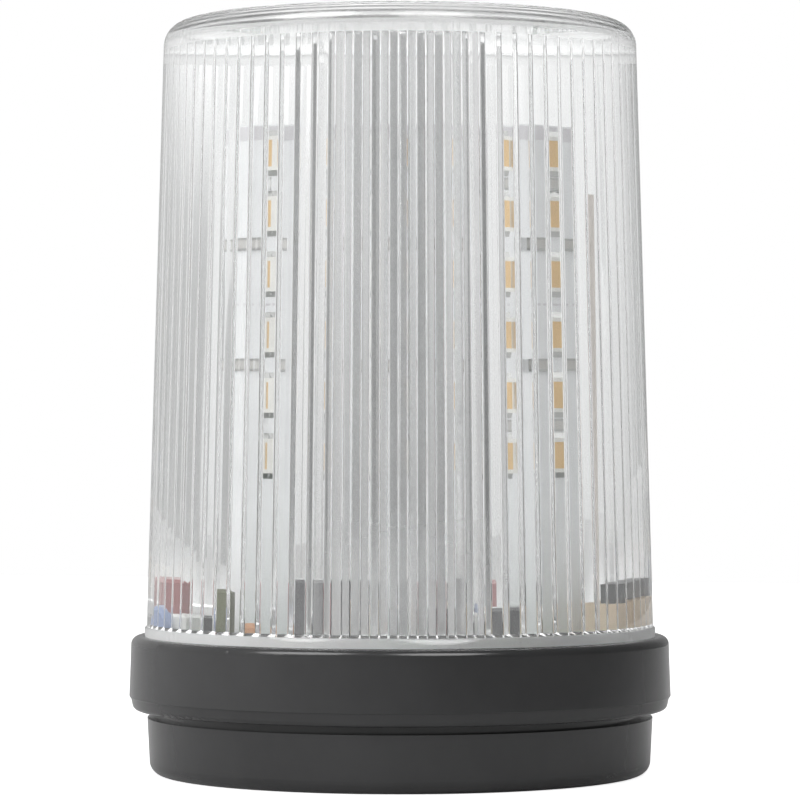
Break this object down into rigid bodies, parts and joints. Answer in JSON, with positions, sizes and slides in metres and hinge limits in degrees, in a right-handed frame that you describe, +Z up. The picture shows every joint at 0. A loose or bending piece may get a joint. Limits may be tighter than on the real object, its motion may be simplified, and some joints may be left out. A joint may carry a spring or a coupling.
{
  "type": "flashing warning lamp",
  "caption": "Round flashing warning lamp: a clear prism-fluted lens in a dark twist-lock collar, over a square tower of LED boards on a control board in a round base.",
  "frame": {"origin": "centre of the flat underside of the base", "axes": "+Z up along the lens axis, -Y towards the front LED board, +Y towards the cable inlet"},
  "size_m": [0.09, 0.09, 0.1255],
  "materials": {
    "clear_lens": "clear moulded polycarbonate, polished outside, prism flutes inside",
    "grey_housing": "satin moulded plastic, dark grey",
    "seal_rubber": "soft black rubber",
    "board_green": "solder-masked fibreglass board",
    "board_white": "white solder-masked board",
    "screw_steel": "zinc-plated steel",
    "post_white": "white moulded plastic",
    "led_white": "white LED package",
    "led_phosphor": "yellow phosphor under clear silicone",
    "chip_black": "black moulded chip",
    "terminal_black": "moulded terminal housing",
    "capacitor_black": "shrink sleeve",
    "ferrite": "sintered ferrite",
    "winding_tape": "tan winding tape",
    "varistor_blue": "dipped epoxy",
    "disc_orange": "dipped epoxy",
    "film_red": "moulded case",
    "choke_olive": "shrink sleeve",
    "jumper_white": "moulded connector",
    "aerial_sheath": "insulated wire"
  },
  "bodies": {
    "base": {"base_body": "grey_housing", "neck_seal": "seal_rubber", "cable_grommet": "seal_rubber", "control_board": "board_green", "board_screws": "screw_steel", "led_post": "post_white", "terminal_block": "terminal_black", "terminal_screws": "screw_steel", "electrolytic_large": "capacitor_black", "electrolytic_small": "capacitor_black", "transformer_core": "ferrite", "transformer_winding": "winding_tape", "bridge_rectifier": "chip_black", "varistor": "varistor_blue", "disc_capacitor": "disc_orange", "film_capacitor": "film_red", "choke": "choke_olive", "jumper_block": "jumper_white", "driver_chip": "chip_black", "aerial_terminal": "terminal_black", "aerial_wire": "aerial_sheath", "led_board_front": "board_white", "leds_front": "led_white", "led_phosphors_front": "led_phosphor", "led_chips_front": "chip_black", "led_board_right": "board_white", "leds_right": "led_white", "led_phosphors_right": "led_phosphor", "led_chips_right": "chip_black", "led_board_back": "board_white", "leds_back": "led_white", "led_phosphors_back": "led_phosphor", "led_chips_back": "chip_black", "led_board_left": "board_white", "leds_left": "led_white", "led_phosphors_left": "led_phosphor", "led_chips_left": "chip_black"},
    "cover": {"collar_ring": "grey_housing", "lens": "clear_lens"}
  },
  "joints": [
    {"name": "cover_twist", "type": "hinge", "parent": "base", "child": "cover", "pos_m": [0, 0, 0.0152], "axis": [0, 0, 1], "range_deg": [0, 30]}
  ]
}
